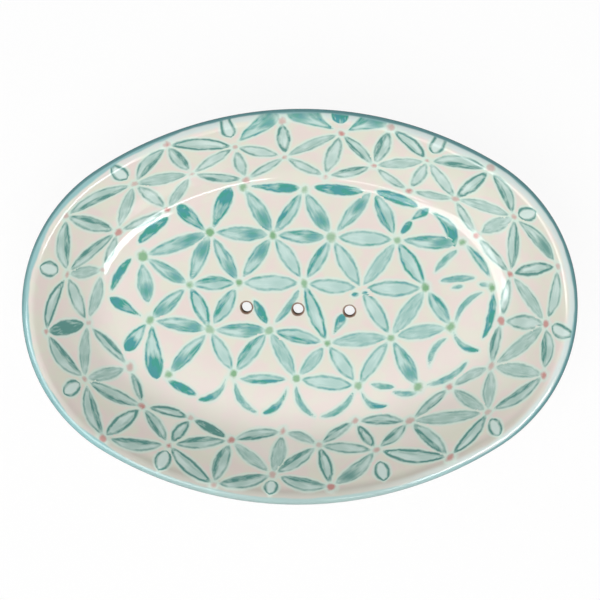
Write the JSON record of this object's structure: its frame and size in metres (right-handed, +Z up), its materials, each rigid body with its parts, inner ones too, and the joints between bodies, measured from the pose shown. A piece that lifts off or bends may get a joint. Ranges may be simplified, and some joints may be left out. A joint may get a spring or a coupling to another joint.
{
  "type": "soap dish",
  "caption": "Oval glazed stoneware soap dish with sloping walls, a rounded lip, a flat floor with a row of drain holes, and a foot ring under the floor.",
  "frame": {"origin": "middle of the footprint, on the surface that the dish stands on", "axes": "+X along the dish's length, +Y across it, +Z up, out of the open side"},
  "size_m": [0.14, 0.1, 0.025],
  "materials": {
    "painted_glaze": "clear gloss glaze over a cream ground, hand-painted in sea green with an interlaced petal lattice, turquoise lip",
    "bare_clay": "bare fired stoneware clay, matte, glaze wiped off where it stands"
  },
  "bodies": {
    "root": {"dish_body": "painted_glaze", "foot_ring": "bare_clay"}
  },
  "joints": []
}
